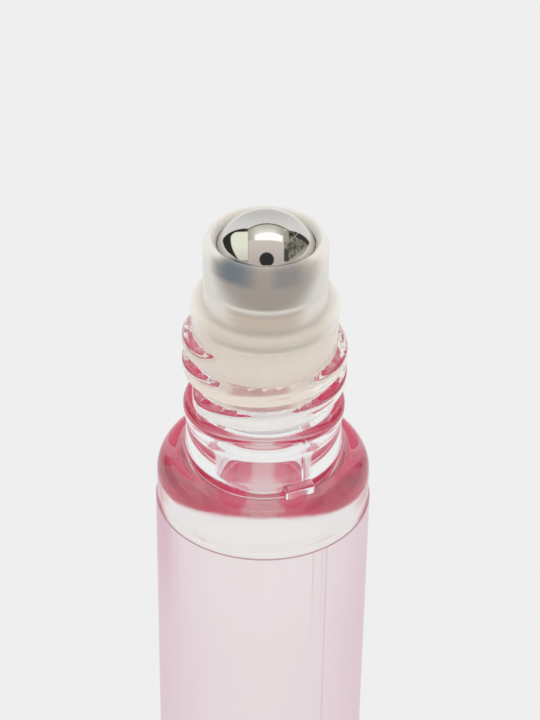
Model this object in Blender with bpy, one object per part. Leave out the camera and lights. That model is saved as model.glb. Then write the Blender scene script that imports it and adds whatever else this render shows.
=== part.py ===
"""Mini perfume bottle with a roll-on applicator.

A moulded glass vial holds the perfume. A soft plastic roller housing is pressed into its neck
and carries a steel ball behind a snap lip. A translucent label film is wrapped round the body.
The origin is on the bottle's axis at the level it stands on, and the front of the bottle is -Y.
All sizes below are millimetres.
"""

import math

import bmesh
import bpy
from mathutils import Matrix

MM = 0.001

# Facets
RING_STEPS = 52
ARC_STEPS = 4
BEAD_STEPS = 3
BALL_SEGMENTS = 36
BALL_RINGS = 18
AXIS_WELD = 1e-7
SMOOTH_ANGLE = 35.0

# Running and seating clearances
BALL_CLEARANCE = 0.08
PLUG_CLEARANCE = 0.05
SEAT_GAP = 0.05
FILM_GAP = 0.03
FILL_GAP = 0.05

# Glass body
BODY_RADIUS = 10.0
BODY_WALL = 1.6
SHOULDER_START = 53.5
SHOULDER_RADIUS = 2.75
SHOULDER_WALL = 6.6
DOME_RADIUS = 1.8
HEEL_RADIUS = 1.6
BASE_THICKNESS = 2.0
FLOOR_CORNER = 1.8
PUNT_RADIUS = 5.6
PUNT_DEPTH = 0.8

# Neck finish
NECK_RADIUS = 6.65
NECK_BORE = 4.75
NECK_HEIGHT = 14.95
THROAT_RADIUS = 1.6
LIP_ROUND = 0.35
LIP_CHAMFER = 0.25
COLLAR_RADIUS = 7.47
COLLAR_WAIST_RADIUS = 7.2
COLLAR_FOOT_RADIUS = 7.35
COLLAR_HEIGHT = 5.8
BEAD_HEIGHT = 4.7
WAIST_HEIGHT = 3.25
COLLAR_ROUND = 0.85
COLLAR_FILLET = 0.8

# Moulding lug at the foot of the collar
LUG_ANGLE = 25.0
LUG_WIDTH = 3.0
LUG_PROUD = 0.95
LUG_ROOT = 0.6
LUG_HEIGHT = 1.35
LUG_SINK = 0.65
LUG_BEVEL = 0.16

# Steel ball
BALL_RADIUS = 4.75

# Roller housing
HOUSING_RADIUS = 5.6
HOUSING_HEIGHT = 6.5
RIM_ROUND = 0.9
LIP_OPENING = 4.42
LIP_DROP = 0.7
GROOVE_HEIGHT = 1.85
GROOVE_WIDTH = 0.4
GROOVE_DEPTH = 0.15
FLANGE_RADIUS = 6.74
FLANGE_THICKNESS = 1.55
FLANGE_ROUND = 0.45
FLANGE_FILLET = 0.3
PLUG_LENGTH = 9.9
PLUG_RIB_HEIGHT = 0.15
PLUG_RIB_WIDTH = 0.9
PLUG_RIBS = 3
PLUG_RIB_START = 2.2
PLUG_RIB_PITCH = 2.1
PLUG_LEAD = 0.6
PLUG_WALL = 1.1
SEAT_LEDGE = 0.55
SEAT_FLOOR = 1.4
FLOW_CHANNELS = 4
CHANNEL_DEPTH = 0.35
CHANNEL_WIDTH = 0.9

# Perfume
SURFACE_RISE = 0.35
MENISCUS_RISE = 0.45
MENISCUS_REACH = 1.2

# Label film
FILM_THICKNESS = 0.1
FILM_BOTTOM = 4.0
FILM_MARGIN = 2.9
LAP_ANGLE = 27.0
LAP_WIDTH = 1.35


# Levels and radii that the pieces share
CAVITY_RADIUS = BODY_RADIUS - BODY_WALL
SHOULDER_TOP = SHOULDER_START + SHOULDER_RADIUS
LIP_LEVEL = SHOULDER_TOP + NECK_HEIGHT
DOME_TOP = SHOULDER_TOP - SHOULDER_WALL
DOME_START = DOME_TOP - DOME_RADIUS
THROAT_ROUND = min(THROAT_RADIUS, CAVITY_RADIUS - NECK_BORE - DOME_RADIUS)
FLOOR_LEVEL = PUNT_DEPTH + BASE_THICKNESS
FLANGE_UNDERSIDE = LIP_LEVEL + SEAT_GAP
FLANGE_TOP = FLANGE_UNDERSIDE + FLANGE_THICKNESS
HOUSING_TOP = FLANGE_TOP + HOUSING_HEIGHT
LIP_EDGE = HOUSING_TOP - LIP_DROP
SOCKET_RADIUS = BALL_RADIUS + BALL_CLEARANCE
BALL_CENTRE = LIP_EDGE - math.sqrt(SOCKET_RADIUS ** 2 - LIP_OPENING ** 2)
PLUG_RADIUS = NECK_BORE - PLUG_CLEARANCE - PLUG_RIB_HEIGHT
PLUG_END = LIP_LEVEL - PLUG_LENGTH
PLUG_BORE = PLUG_RADIUS - PLUG_WALL
FLOW_HOLE_RADIUS = PLUG_BORE - SEAT_LEDGE
FILL_LEVEL = DOME_TOP + THROAT_ROUND + SURFACE_RISE


def arc(centre_r, centre_z, radius, start, end, steps=ARC_STEPS):
    """Points of a round stretch from the start angle to the end angle, in degrees."""
    points = []
    for step in range(steps + 1):
        angle = math.radians(start + (end - start) * step / steps)
        points.append((centre_r + radius * math.cos(angle), centre_z + radius * math.sin(angle)))
    return points


def clear_scene():
    """Remove every object of the open file."""
    for item in list(bpy.data.objects):
        bpy.data.objects.remove(item, do_unlink=True)


def make_material(name, colour, roughness, metallic=0.0, transmission=0.0, ior=1.45):
    """Principled material with the piece's own colour and finish."""
    material = bpy.data.materials.new(name)
    material.use_nodes = True
    shader = material.node_tree.nodes["Principled BSDF"]
    shader.inputs["Base Color"].default_value = (*colour, 1.0)
    shader.inputs["Roughness"].default_value = roughness
    shader.inputs["Metallic"].default_value = metallic
    shader.inputs["Transmission Weight"].default_value = transmission
    shader.inputs["IOR"].default_value = ior
    material.diffuse_color = (*colour, 1.0)
    return material


def place(name, bm, material, level=0.0):
    """Turn an edit mesh into a smooth-shaded object whose origin is on the axis at a level."""
    bmesh.ops.recalc_face_normals(bm, faces=bm.faces)
    mesh = bpy.data.meshes.new(name)
    bm.to_mesh(mesh)
    bm.free()
    mesh.shade_smooth()
    mesh.set_sharp_from_angle(angle=math.radians(SMOOTH_ANGLE))
    item = bpy.data.objects.new(name, mesh)
    item.location.z = level * MM
    item.data.materials.append(material)
    bpy.context.scene.collection.objects.link(item)
    return item


def turn(outline, closed):
    """Edit mesh of an outline of radius and height points, revolved about Z."""
    bm = bmesh.new()
    points = [bm.verts.new((radius * MM, 0.0, height * MM)) for radius, height in outline]
    edges = [bm.edges.new(pair) for pair in zip(points, points[1:])]
    if closed:
        edges.append(bm.edges.new((points[-1], points[0])))
    bmesh.ops.spin(
        bm,
        geom=points + edges,
        cent=(0.0, 0.0, 0.0),
        axis=(0.0, 0.0, 1.0),
        angle=math.tau,
        steps=RING_STEPS,
        use_merge=True,
    )
    bmesh.ops.remove_doubles(bm, verts=bm.verts, dist=AXIS_WELD)
    return bm


def extrude_face(bm, points, offset):
    """Close a flat loop of points and extrude it by a vector into a solid."""
    face = bm.faces.new([bm.verts.new(point) for point in points])
    sweep = bmesh.ops.extrude_face_region(bm, geom=[face], use_keep_orig=True)
    moved = [part for part in sweep["geom"] if isinstance(part, bmesh.types.BMVert)]
    bmesh.ops.translate(bm, verts=moved, vec=offset)


def guide(item):
    """Hide a cutter or a joined shape, which is not a piece of its own."""
    item.hide_render = True
    item.display_type = "WIRE"


def combine(item, other, operation):
    """Join or cut an object with another by an exact Boolean modifier."""
    modifier = item.modifiers.new(other.name, "BOOLEAN")
    modifier.operation = operation
    modifier.solver = "EXACT"
    modifier.object = other
    guide(other)


def cavity_outline(gap):
    """Half section of the hollow from the neck's bore down to the floor, a gap inside the glass."""
    throat = NECK_BORE + THROAT_ROUND
    points = arc(throat, DOME_TOP + THROAT_ROUND, THROAT_ROUND + gap, 180.0, 270.0)
    points += arc(CAVITY_RADIUS - DOME_RADIUS, DOME_START, DOME_RADIUS - gap, 90.0, 0.0)
    corner = FLOOR_LEVEL + FLOOR_CORNER
    points += arc(CAVITY_RADIUS - FLOOR_CORNER, corner, FLOOR_CORNER - gap, 0.0, -90.0)
    points.append((0.0, FLOOR_LEVEL + gap))
    return points


def glass_outline():
    """Half section of the bottle, from under the punt, up the outside and down the inside."""
    punt_curve = (PUNT_RADIUS ** 2 + PUNT_DEPTH ** 2) / (2.0 * PUNT_DEPTH)
    punt_half_angle = math.degrees(math.asin(PUNT_RADIUS / punt_curve))
    foot = COLLAR_FOOT_RADIUS + COLLAR_FILLET
    shoulder_centre = BODY_RADIUS - SHOULDER_RADIUS
    reach = SHOULDER_RADIUS + COLLAR_FILLET
    shoulder_end = math.degrees(math.acos(max(0.0, foot - shoulder_centre) / reach))
    fillet_level = SHOULDER_START + reach * math.sin(math.radians(shoulder_end))
    collar_top = SHOULDER_TOP + COLLAR_HEIGHT

    outside = arc(0.0, PUNT_DEPTH - punt_curve, punt_curve, 90.0, 90.0 - punt_half_angle)
    outside += arc(BODY_RADIUS - HEEL_RADIUS, HEEL_RADIUS, HEEL_RADIUS, -90.0, 0.0)
    outside += arc(shoulder_centre, SHOULDER_START, SHOULDER_RADIUS, 0.0, shoulder_end)
    outside += arc(foot, fillet_level, COLLAR_FILLET, 180.0 + shoulder_end, 180.0)[1:]
    for step in range(BEAD_STEPS):
        share = step / BEAD_STEPS
        swell = (COLLAR_RADIUS - COLLAR_WAIST_RADIUS) * share * share * (3.0 - 2.0 * share)
        rise = (BEAD_HEIGHT - WAIST_HEIGHT) * share
        outside.append((COLLAR_WAIST_RADIUS + swell, SHOULDER_TOP + WAIST_HEIGHT + rise))
    outside += arc(COLLAR_RADIUS - COLLAR_ROUND, collar_top - COLLAR_ROUND, COLLAR_ROUND, 0.0, 90.0, 4)
    outside.append((NECK_RADIUS, collar_top + COLLAR_RADIUS - COLLAR_ROUND - NECK_RADIUS))
    outside += arc(NECK_RADIUS - LIP_ROUND, LIP_LEVEL - LIP_ROUND, LIP_ROUND, 0.0, 90.0, 3)

    inside = [(NECK_BORE + LIP_CHAMFER, LIP_LEVEL), (NECK_BORE, LIP_LEVEL - LIP_CHAMFER)]
    return outside + inside + cavity_outline(0.0)


def build_lug(material):
    """Small bar that the mould leaves in the corner between the shoulder and the collar."""
    depth = LUG_ROOT + LUG_PROUD
    centre_r = COLLAR_FOOT_RADIUS + LUG_PROUD - depth / 2.0
    centre_z = SHOULDER_TOP - LUG_SINK + LUG_HEIGHT / 2.0
    bm = bmesh.new()
    bmesh.ops.create_cube(bm, size=1.0)
    bmesh.ops.scale(bm, verts=bm.verts, vec=(LUG_WIDTH * MM, depth * MM, LUG_HEIGHT * MM))
    bmesh.ops.bevel(bm, geom=bm.edges, offset=LUG_BEVEL * MM, segments=2, profile=0.5, affect="EDGES")
    bmesh.ops.translate(bm, verts=bm.verts, vec=(0.0, -centre_r * MM, centre_z * MM))
    bmesh.ops.rotate(bm, verts=bm.verts, matrix=Matrix.Rotation(math.radians(LUG_ANGLE), 3, "Z"))
    return place("lug_shape", bm, material)


def build_glass_bottle():
    """Moulded glass vial: punted base, straight body, round shoulder, collar and open neck."""
    material = make_material("clear_glass", (0.95, 0.96, 0.96), 0.03, transmission=1.0, ior=1.52)
    bottle = place("glass_bottle", turn(glass_outline(), False), material)
    combine(bottle, build_lug(material), "UNION")


def housing_outline():
    """Half section of the roller housing, down its outside and back up through its bore."""
    groove = FLANGE_TOP + GROOVE_HEIGHT
    bore_top = BALL_CENTRE - SOCKET_RADIUS - SEAT_FLOOR
    lip_angle = math.degrees(math.acos(LIP_OPENING / SOCKET_RADIUS))
    hole_angle = math.degrees(math.acos(FLOW_HOLE_RADIUS / SOCKET_RADIUS))

    outline = arc(HOUSING_RADIUS - RIM_ROUND, HOUSING_TOP - RIM_ROUND, RIM_ROUND, 90.0, 0.0)
    outline += [
        (HOUSING_RADIUS, groove + GROOVE_WIDTH / 2.0),
        (HOUSING_RADIUS - GROOVE_DEPTH, groove + GROOVE_WIDTH / 4.0),
        (HOUSING_RADIUS - GROOVE_DEPTH, groove - GROOVE_WIDTH / 4.0),
        (HOUSING_RADIUS, groove - GROOVE_WIDTH / 2.0),
    ]
    foot = HOUSING_RADIUS + FLANGE_FILLET
    outline += arc(foot, FLANGE_TOP + FLANGE_FILLET, FLANGE_FILLET, 180.0, 270.0, 3)
    outline += arc(FLANGE_RADIUS - FLANGE_ROUND, FLANGE_TOP - FLANGE_ROUND, FLANGE_ROUND, 90.0, 0.0, 4)
    outline += [(FLANGE_RADIUS, FLANGE_UNDERSIDE), (PLUG_RADIUS, FLANGE_UNDERSIDE)]
    for rib in range(PLUG_RIBS):
        top = LIP_LEVEL - PLUG_RIB_START - rib * PLUG_RIB_PITCH
        crest = PLUG_RADIUS + PLUG_RIB_HEIGHT
        outline += [
            (PLUG_RADIUS, top),
            (crest, top - PLUG_RIB_WIDTH / 3.0),
            (crest, top - PLUG_RIB_WIDTH * 2.0 / 3.0),
            (PLUG_RADIUS, top - PLUG_RIB_WIDTH),
        ]
    outline += [
        (PLUG_RADIUS, PLUG_END + PLUG_LEAD),
        (PLUG_RADIUS - PLUG_LEAD / 2.0, PLUG_END),
        (PLUG_BORE, PLUG_END),
        (PLUG_BORE, bore_top),
        (FLOW_HOLE_RADIUS, bore_top),
    ]
    outline += arc(0.0, BALL_CENTRE, SOCKET_RADIUS, -hole_angle, lip_angle, 14)
    return outline


def build_channel_cutter(index, material):
    """Half disc whose edge cuts two opposite flow channels into the seat under the ball."""
    radius = SOCKET_RADIUS + CHANNEL_DEPTH
    outline = arc(0.0, 0.0, radius, 180.0, 360.0, 20)
    points = [(along * MM, CHANNEL_WIDTH / 2.0 * MM, height * MM) for along, height in outline]
    bm = bmesh.new()
    extrude_face(bm, points, (0.0, -CHANNEL_WIDTH * MM, 0.0))
    turn_angle = math.tau * (index + 0.5) / FLOW_CHANNELS
    bmesh.ops.rotate(bm, verts=bm.verts, matrix=Matrix.Rotation(turn_angle, 3, "Z"))
    return place(f"channel_cutter_{index}", bm, material, BALL_CENTRE)


def build_roller_housing():
    """Plastic fitment: ball socket with a snap lip, flange on the glass lip and ribbed plug."""
    material = make_material("natural_plastic", (0.80, 0.77, 0.73), 0.42)
    housing = place("roller_housing", turn(housing_outline(), True), material)
    for index in range(FLOW_CHANNELS // 2):
        combine(housing, build_channel_cutter(index, material), "DIFFERENCE")


def build_roller_ball():
    """Steel ball, with its origin at its centre, the point it rolls about."""
    material = make_material("polished_steel", (0.62, 0.61, 0.59), 0.06, metallic=1.0)
    bm = bmesh.new()
    bmesh.ops.create_uvsphere(
        bm,
        u_segments=BALL_SEGMENTS,
        v_segments=BALL_RINGS,
        radius=BALL_RADIUS * MM,
    )
    place("roller_ball", bm, material, BALL_CENTRE)


def build_perfume_fill():
    """The perfume, up to its level, with the rim of its surface drawn up the glass."""
    material = make_material("pink_perfume", (0.90, 0.62, 0.70), 0.05, transmission=0.9, ior=1.37)
    rim = NECK_BORE - FILL_GAP - MENISCUS_REACH
    outline = [(0.0, FILL_LEVEL)]
    for step in range(ARC_STEPS + 1):
        share = step / ARC_STEPS
        outline.append((rim + MENISCUS_REACH * share, FILL_LEVEL + MENISCUS_RISE * share ** 2))
    outline += cavity_outline(FILL_GAP)
    place("perfume_fill", turn(outline, False), material)


def build_label_film():
    """Translucent film wrapped once round the body, with one end lapped over the other."""
    material = make_material("frosted_film", (0.88, 0.74, 0.77), 0.55)
    inner = BODY_RADIUS + FILM_GAP
    outer = inner + FILM_THICKNESS
    top = SHOULDER_START - FILM_MARGIN
    wrap = [(inner, FILM_BOTTOM), (outer, FILM_BOTTOM), (outer, top), (inner, top)]
    film = place("label_film", turn(wrap, True), material)

    start = LAP_ANGLE - 90.0
    end = start + math.degrees(LAP_WIDTH / outer)
    section = arc(0.0, 0.0, outer + FILM_THICKNESS, start, end, 3)
    section += arc(0.0, 0.0, outer - FILM_THICKNESS / 2.0, end, start, 3)
    bm = bmesh.new()
    points = [(across * MM, ahead * MM, FILM_BOTTOM * MM) for across, ahead in section]
    extrude_face(bm, points, (0.0, 0.0, (top - FILM_BOTTOM) * MM))
    combine(film, place("lap_shape", bm, material), "UNION")


def main():
    """Build every piece of the bottle."""
    clear_scene()
    build_glass_bottle()
    build_roller_housing()
    build_roller_ball()
    build_perfume_fill()
    build_label_film()


main()
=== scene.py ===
"""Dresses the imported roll-on vial: moulded glass with its screw thread, fitment, ball, perfume and film."""

import math
from functools import partial
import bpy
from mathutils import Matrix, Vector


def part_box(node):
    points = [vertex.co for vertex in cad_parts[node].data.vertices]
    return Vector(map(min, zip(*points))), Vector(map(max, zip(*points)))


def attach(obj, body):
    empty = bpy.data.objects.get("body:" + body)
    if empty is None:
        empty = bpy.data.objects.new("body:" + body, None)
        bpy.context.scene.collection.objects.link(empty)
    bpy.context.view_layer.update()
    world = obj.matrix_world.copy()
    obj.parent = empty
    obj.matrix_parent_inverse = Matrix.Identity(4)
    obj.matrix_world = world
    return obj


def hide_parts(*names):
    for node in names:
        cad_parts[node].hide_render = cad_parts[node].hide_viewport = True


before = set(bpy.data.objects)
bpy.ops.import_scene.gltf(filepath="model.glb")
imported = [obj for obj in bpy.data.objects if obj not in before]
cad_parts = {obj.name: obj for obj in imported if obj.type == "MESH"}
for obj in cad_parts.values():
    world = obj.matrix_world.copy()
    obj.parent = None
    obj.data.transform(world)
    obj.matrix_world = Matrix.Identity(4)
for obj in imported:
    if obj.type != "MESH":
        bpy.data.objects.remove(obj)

from types import SimpleNamespace

import bmesh
import bpy
from bpy.props import FloatProperty, FloatVectorProperty, IntProperty, PointerProperty
from bpy.types import Operator, Panel, PropertyGroup
from mathutils import Matrix, Vector

bl_info = {
    "name": "Roll-on Vial",
    "version": (1, 0, 0),
    "blender": (4, 5, 0),
    "location": "View3D > Sidebar > Vial",
    "description": "Dresses a packed roll-on perfume vial, one button for each of its pieces",
    "category": "Object",
}

MM = 0.001
WHITE = (1.0, 1.0, 1.0)
GLASS_IOR = 1.5
PERFUME_IOR = 1.46
SHARP_ANGLE = math.radians(38.0)

# Rise of the perfume at the glass, in millimetres
MENISCUS_RISE = 0.45

# Columns and rows of the turned meshes, and how far extra columns reach from their middle
GLASS_COLUMNS = 224
SEAM_COLUMNS = 24
SEAM_REACH = math.radians(4.0)
LAP_COLUMNS = 4
LAP_REACH = math.radians(0.5)
PERFUME_COLUMNS = 192
FITMENT_COLUMNS = 128
BALL_COLUMNS = 144
FILM_COLUMNS = 240
NECK_ROWS = 110
MENISCUS_ROWS = 10

# Radius under which a point lies on the axis
AXIS_RADIUS = 1e-7

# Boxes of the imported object
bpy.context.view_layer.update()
GLASS_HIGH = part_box("glass_bottle")[1]
HOUSING_LOW, HOUSING_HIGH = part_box("roller_housing")
BALL_LOW, BALL_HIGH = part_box("roller_ball")
FILM_LOW, FILM_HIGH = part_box("label_film")
FILL_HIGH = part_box("perfume_fill")[1]


# Sizes and colours

def length(description, millimetres):
    """Length property whose default is given in millimetres."""
    default = millimetres * MM
    return partial(FloatProperty, description=description, default=default, unit="LENGTH", precision=5)


def angle(description, degrees):
    """Angle property whose default is given in degrees."""
    return partial(FloatProperty, description=description, default=math.radians(degrees), unit="ROTATION")


def ratio(description, value):
    """Plain factor."""
    return partial(FloatProperty, description=description, default=value)


def count(description, value, least):
    """Whole number property."""
    return partial(IntProperty, description=description, default=value, min=least)


def colour(description, *shown):
    """Colour property whose default is given as it shows on the screen, from 0 to 255."""
    linear = [(v / 255.0 + 0.055) ** 2.4 / 1.055 ** 2.4 if v > 10 else v / 255.0 / 12.92 for v in shown]
    return partial(FloatVectorProperty, description=description, default=linear, subtype="COLOR", size=3)


def titled(group):
    """Name each property of a group after its key."""
    for key, unnamed in group.__annotations__.items():
        group.__annotations__[key] = unnamed(name=key.replace("_", " ").capitalize())
    return group


@titled
class VialGlassSizes(PropertyGroup):
    """Sizes of the moulded glass"""

    body_radius: length("Outside of the straight glass body", GLASS_HIGH.x / MM)
    wall: length("Thickness of the straight wall", 1.6)
    heel_radius: length("Rounding between the body and its foot", 1.6)
    punt_radius: length("Radius of the hollow under the base", 5.6)
    punt_depth: length("Depth of the hollow under the base", 0.8)
    base_thickness: length("Glass above the punt", 2.0)
    floor_corner: length("Inside rounding between floor and wall", 1.8)
    shoulder_start: length("Level where the straight body ends", 53.5)
    shoulder_radius: length("Rounding of the shoulder", 2.75)
    shoulder_wall: length("Glass between the shoulder's top and the dome under it", 6.6)
    dome_radius: length("Inside rounding under the shoulder", 1.8)
    throat_radius: length("Rounding between the dome and the neck's bore", 1.6)
    neck_radius: length("Outside of the neck between its threads", 6.65)
    neck_bore: length("Inside radius of the neck", 4.75)
    lip_level: length("Top of the glass", GLASS_HIGH.z / MM)
    lip_round: length("Outside rounding of the lip", 0.35)
    lip_chamfer: length("Inside chamfer of the lip", 0.25)
    collar_radius: length("Outside of the bead round the collar's top", 7.47)
    collar_waist: length("Radius of the collar under its bead", 7.2)
    collar_foot: length("Radius where the collar meets the shoulder", 7.35)
    collar_height: length("Height of the collar", 5.8)
    collar_round: length("Rounding of the bead's top", 0.85)
    bead_height: length("Height above the shoulder at which the bead is full", 4.7)
    waist_height: length("Height of the collar's waist above the shoulder", 3.25)
    collar_fillet: length("Fillet between the collar and the shoulder", 1.25)
    lug_angle: angle("Where the moulding lug stands, from the front to the right", 25.0)
    lug_width: length("Width of the moulding lug", 3.0)
    lug_height: length("Height of the moulding lug", 1.35)
    lug_sink: length("How far the lug's foot lies under the shoulder's top", 0.65)
    lug_proud: length("How far the lug stands out of the collar", 0.95)
    lug_root: length("How far the lug runs into the glass", 0.6)
    lug_bevel: length("Rounding of the lug's edges", 0.32)


@titled
class VialThreadSizes(PropertyGroup):
    """Sizes of the screw thread and the seams"""

    pitch: length("Drop of the thread in one turn", 2.6)
    level: length("Height of the crest where it first passes the left side", 68.65)
    start: ratio("Turns from the first left pass at which the thread starts", -0.185)
    end: ratio("Turns from the first left pass at which the thread ends", 1.98)
    fade: ratio("Turns over which the thread rises at its start and sinks at its end", 0.09)
    height: length("How far the crest stands out of the neck", 0.9)
    lower: length("Reach of the thread below its crest", 1.05)
    upper: length("Reach of the thread above its crest", 0.7)
    flat_share: ratio("Share of the crest that is missing at the front", 0.035)
    flat_from: angle("Where the flattened stretch begins, from the front to the right", -34.0)
    flat_to: angle("Where the flattened stretch is over", 36.0)
    seam_angle: angle("Where the mould seam runs, from the front to the right", 30.0)
    seam_height: length("How far the mould seam stands out", 0.05)
    seam_width: length("Half width of the mould seam", 0.16)


@titled
class VialFitmentSizes(PropertyGroup):
    """Sizes of the fitment and its ball"""

    housing_radius: length("Outside of the ball housing", 5.6)
    housing_top: length("Level of the rim", HOUSING_HIGH.z / MM)
    rim_round: length("Height of the rim's outer rounding", 0.9)
    rim_top: length("Radius at which the rim's outer rounding begins", 4.9)
    lip_opening: length("Radius of the snap lip's edge", 4.42)
    groove_rise: length("Height of the groove above the flange", 1.85)
    groove_width: length("Width of the groove", 0.55)
    groove_depth: length("Depth of the groove", 0.06)
    flange_radius: length("Outside of the flange", 6.74)
    flange_thickness: length("Thickness of the flange", 1.55)
    flange_round: length("Rounding of the flange's top edge", 0.45)
    flange_fillet: length("Fillet between the flange and the housing", 0.3)
    seat_gap: length("Space between the flange and the glass lip", 0.05)
    plug_radius: length("Outside of the plug, which presses on the glass", 4.77)
    plug_end: length("Level of the plug's lower end", HOUSING_LOW.z / MM)
    plug_lead: length("Chamfer that leads the plug in", 0.6)
    plug_wall: length("Wall of the plug", 1.32)
    relief_depth: length("Depth of the grooves between the plug's sealing lands", 0.12)
    relief_width: length("Width of a groove between sealing lands", 0.8)
    relief_start: length("Depth of the first groove under the glass lip", 4.9)
    relief_pitch: length("Spacing of the grooves", 2.6)
    reliefs: count("Number of grooves between sealing lands", 2, 0)
    seat_ledge: length("How far the seat overhangs the plug's bore", 0.55)
    seat_floor: length("Plastic under the ball's lowest point", 1.4)
    channels: count("Number of channels under the ball", 4, 2)
    channel_depth: length("Depth of a flow channel", 0.35)
    channel_width: length("Width of a flow channel", 0.9)
    ball_radius: length("Radius of the steel ball", (BALL_HIGH.z - BALL_LOW.z) / 2.0 / MM)
    ball_centre: length("Level of the ball's centre", (BALL_HIGH.z + BALL_LOW.z) / 2.0 / MM)
    ball_clearance: length("Space between the ball and its socket", 0.08)


@titled
class VialFillSizes(PropertyGroup):
    """Sizes of the perfume"""

    level: length("Level of the perfume at rest", FILL_HIGH.z / MM - MENISCUS_RISE)
    rise: length("How far the perfume is drawn up the glass", MENISCUS_RISE)
    reach: length("How far from the glass the rise begins", 1.2)
    wetting: length("How far the perfume's skin lies inside the glass", 0.02)


@titled
class VialFilmSizes(PropertyGroup):
    """Sizes of the film"""

    bottom: length("Level of the film's lower edge", FILM_LOW.z / MM)
    top: length("Level of the film's upper edge", FILM_HIGH.z / MM)
    gap: length("Space between glass and film", 0.03)
    thickness: length("Thickness of the film", 0.1)
    lap_angle: angle("Where the lap begins, from the front to the right", 27.0)


@titled
class VialColours(PropertyGroup):
    """Colours of the finishes"""

    glass: colour("Tint of the clear glass", 252, 255, 254)
    film_outside: colour("The film seen from outside", 239, 228, 230)
    film_inside: colour("The film seen through the glass", 252, 246, 246)
    film_edge: colour("The film's upper edge and its lap", 196, 156, 162)
    # Also the colour of the painted shade on the film's upper left
    film_side: colour("The film seen slantwise", 221, 184, 199)
    film_mirror: colour("Light that the filmed wall throws back", 246, 198, 206)
    film_pale: colour("Light thrown back at the front and the back", 251, 226, 228)
    film_deep: colour("Light thrown back between the front and the sides", 240, 150, 178)
    film_depth: colour("The film lit through where the wall throws light back", 224, 68, 112)
    perfume: colour("The perfume", 254, 252, 252)
    plastic: colour("Milky plastic of the fitment", 226, 221, 213)
    # Painted shade: greyer plastic where the ball stands close behind the wall, also used for the painted
    # shade line under the groove
    ball_and_groove_shade: colour("Plastic where the ball stands behind it", 168, 158, 150)
    ball_shade: colour("Bluish shade where the ball lies against the plastic", 112, 120, 127)
    # Painted shade: darker, browner plastic under the groove at the front and back, fading towards the sides
    # and the flange
    foot_shade: colour("Plastic under the groove", 202, 189, 175)
    # Painted shade: the flange darker at its front and back than at its sides
    flange: colour("Plastic of the flange", 209, 199, 188)
    # Painted light: pink bands at the front of the plug, standing for pink light bent through the thread
    plug_pink_light: colour("Lands of the plug that press on the glass", 211, 172, 173)
    flange_shade: colour("Lower edge of the flange", 187, 182, 170)
    flange_side: colour("Sides of the flange, where light comes through", 232, 226, 220)
    thin_rim: colour("Plastic that light comes through from behind", 229, 224, 218)
    plug: colour("The plug, which light reaches from all sides through the glass", 245, 231, 220)
    # Painted light: the plug paler towards its lower end, where light reaches it from below through the glass
    plug_end: colour("Lower end of the plug", 252, 243, 238)
    steel: colour("The polished ball", 226, 224, 221)
    backdrop: colour("Floor and background", 239, 239, 239)


# Node graphs

def on_node(operation, swapped=False):
    """Method that puts a Math node on a number and the values that follow it."""
    def method(self, *others):
        values = (*others, self) if swapped else (self, *others)
        return self.graph.number("ShaderNodeMath", dict(enumerate(values)), operation=operation)
    return method


class Number:
    """A number socket on which ordinary arithmetic adds Math nodes."""

    def __init__(self, graph, socket):
        self.graph = graph
        self.socket = socket

    __add__, __radd__ = on_node("ADD"), on_node("ADD", True)
    __sub__, __rsub__ = on_node("SUBTRACT"), on_node("SUBTRACT", True)
    __mul__, __rmul__ = on_node("MULTIPLY"), on_node("MULTIPLY", True)
    __truediv__, __rtruediv__ = on_node("DIVIDE"), on_node("DIVIDE", True)
    __gt__, __lt__ = on_node("GREATER_THAN"), on_node("LESS_THAN")
    __pow__ = on_node("POWER")
    __abs__ = on_node("ABSOLUTE")
    least, most = on_node("MINIMUM"), on_node("MAXIMUM")
    sine, cosine = on_node("SINE"), on_node("COSINE")
    fraction, nearest = on_node("FRACT"), on_node("ROUND")
    arctangent = on_node("ARCTAN2")

    def step(self, low, high):
        """Smooth step from 0 at the low value to 1 at the high one."""
        sockets = {"Value": self, "From Min": low, "From Max": high}
        return self.graph.number("ShaderNodeMapRange", sockets, interpolation_type="SMOOTHSTEP")

    def fall(self, low, high):
        """Smooth step from 1 at the low value to 0 at the high one."""
        return 1.0 - self.step(low, high)


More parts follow.
